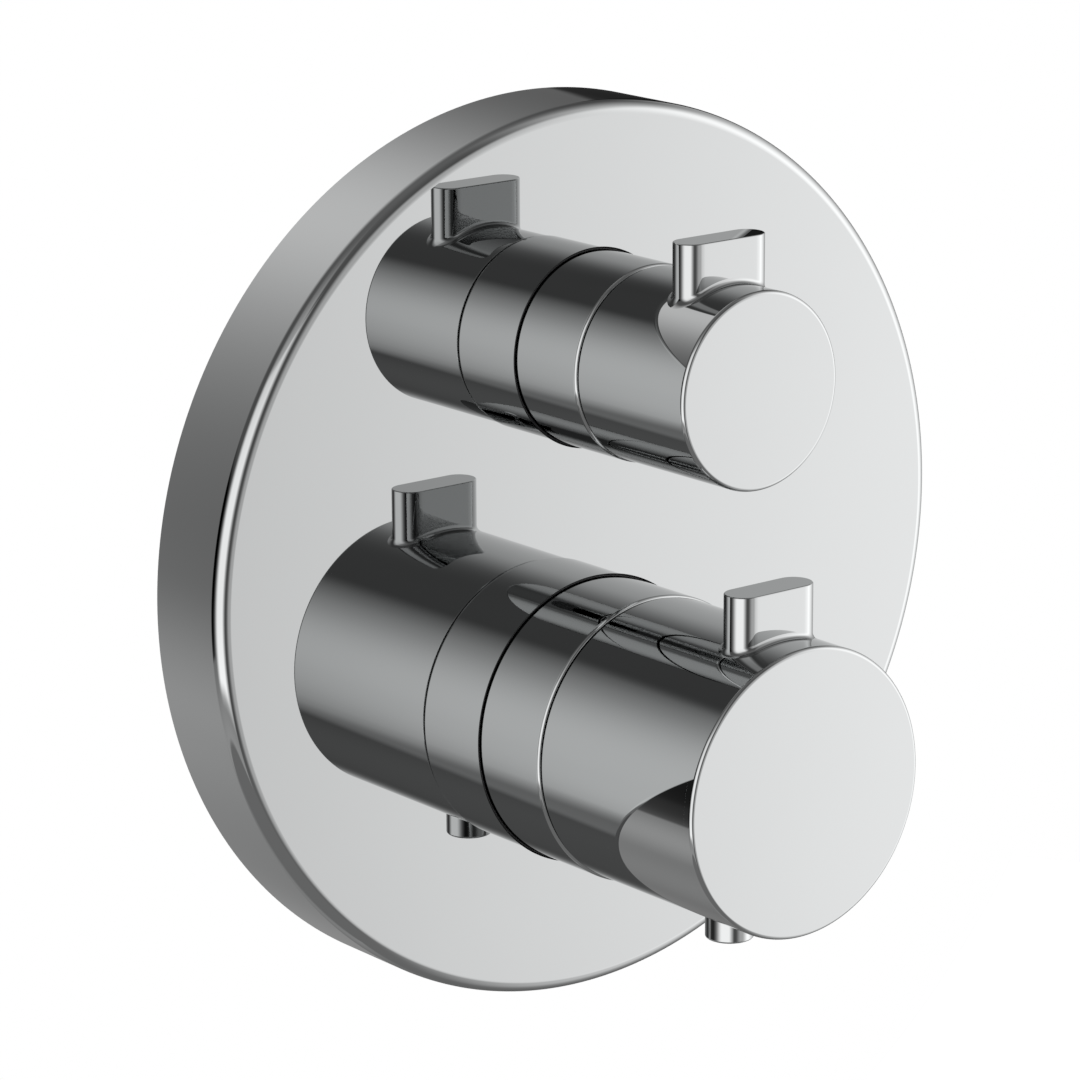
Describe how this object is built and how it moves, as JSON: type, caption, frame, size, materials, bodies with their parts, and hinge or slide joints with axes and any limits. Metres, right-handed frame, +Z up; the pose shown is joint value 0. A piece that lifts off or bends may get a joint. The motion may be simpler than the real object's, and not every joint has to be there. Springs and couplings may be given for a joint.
{
  "type": "concealed thermostatic shower valve",
  "caption": "Wall-sunk thermostatic shower valve with a round chromed cover plate, a temperature knob with a safety button, and a smaller knob that opens and diverts the water.",
  "frame": {"origin": "centre of the round cover plate in the plane of the wall's finished face", "axes": "+X right as seen from the room, +Y into the wall, +Z up"},
  "size_m": [0.17, 0.1516, 0.17],
  "materials": {
    "chrome": "polished",
    "brass": "as turned",
    "steel": "bright",
    "spring_steel": "drawn wire",
    "grey_plastic": "moulded",
    "white_plastic": "moulded",
    "ivory_plastic": "moulded",
    "tan_plastic": "moulded",
    "red_plastic": "moulded",
    "blue_plastic": "moulded",
    "rubber": "matt",
    "foam": "closed-cell foam",
    "copper": "as turned",
    "ceramic": "lapped"
  },
  "bodies": {
    "fixed": {"cover_plate": "chrome", "wall_seal": "foam", "plate_carrier": "grey_plastic", "carrier_grip_ring": "rubber", "carrier_screws": "steel", "upper_sleeve": "chrome", "lower_sleeve": "chrome", "upper_sleeve_nut": "brass", "lower_sleeve_nut": "brass", "sleeve_o_rings": "rubber", "valve_body": "brass", "wall_bracket": "steel", "bracket_screws": "steel", "hot_strainer": "steel", "cold_strainer": "steel", "hot_check_cage": "white_plastic", "cold_check_cage": "white_plastic", "hot_check_spring": "spring_steel", "cold_check_spring": "spring_steel", "thermostat_cage": "tan_plastic", "thermostat_bonnet": "brass", "thermostat_o_rings": "rubber", "stop_ring": "ivory_plastic", "stop_ring_clip": "spring_steel", "return_spring": "spring_steel", "diverter_cage": "tan_plastic", "diverter_bonnet": "brass", "diverter_o_rings": "rubber", "disc_gasket": "rubber", "fixed_disc": "ceramic"},
    "temperature_knob": {"lower_knob": "chrome", "lower_knob_cap": "chrome", "lower_knob_insert": "grey_plastic", "lower_knob_screw": "steel", "temperature_spindle": "brass", "temperature_spindle_seal": "rubber", "button_spring": "spring_steel"},
    "safety_button": {"safety_button": "chrome", "button_yoke": "grey_plastic"},
    "diverter_knob": {"upper_knob": "chrome", "upper_knob_cap": "chrome", "upper_knob_insert": "grey_plastic", "upper_knob_screw": "steel", "turning_disc": "ceramic", "diverter_spindle": "brass", "diverter_spindle_seal": "rubber"},
    "shuttle": {"shuttle": "ivory_plastic", "shuttle_seal": "rubber", "wax_element": "copper", "piston_seat": "steel", "overload_spring": "spring_steel", "regulating_nut": "brass"},
    "hot_check": {"hot_check_poppet": "red_plastic"},
    "cold_check": {"cold_check_poppet": "blue_plastic"}
  },
  "joints": [
    {"name": "temperature_turn", "type": "hinge", "parent": "fixed", "child": "temperature_knob", "pos_m": [0, 0, -0.032], "axis": [0, -1, 0], "range_deg": [-150, 75]},
    {"name": "diverter_turn", "type": "hinge", "parent": "fixed", "child": "diverter_knob", "pos_m": [0, 0, 0.0394], "axis": [0, -1, 0], "range_deg": [-90, 90]},
    {"name": "safety_button_press", "type": "slide", "parent": "temperature_knob", "child": "safety_button", "axis": [0, 0, 1], "range_m": [0, 0.0025], "stiffness_N_per_m": 400, "springref_m": -0.002, "deforming": ["button_spring"]},
    {"name": "shuttle_slide", "type": "slide", "parent": "fixed", "child": "shuttle", "axis": [0, -1, 0], "range_m": [-0.0018, 0.0009], "deforming": ["return_spring"]},
    {"name": "hot_check_slide", "type": "slide", "parent": "fixed", "child": "hot_check", "axis": [1, 0, 0], "range_m": [0, 0.0025], "stiffness_N_per_m": 60, "springref_m": -0.003, "deforming": ["hot_check_spring"]},
    {"name": "cold_check_slide", "type": "slide", "parent": "fixed", "child": "cold_check", "axis": [-1, 0, 0], "range_m": [0, 0.0025], "stiffness_N_per_m": 60, "springref_m": -0.003, "deforming": ["cold_check_spring"]}
  ],
  "couplings": [
    {"joint": "shuttle_slide", "follows": "temperature_turn", "m_per_rad": 0.00063662}
  ]
}
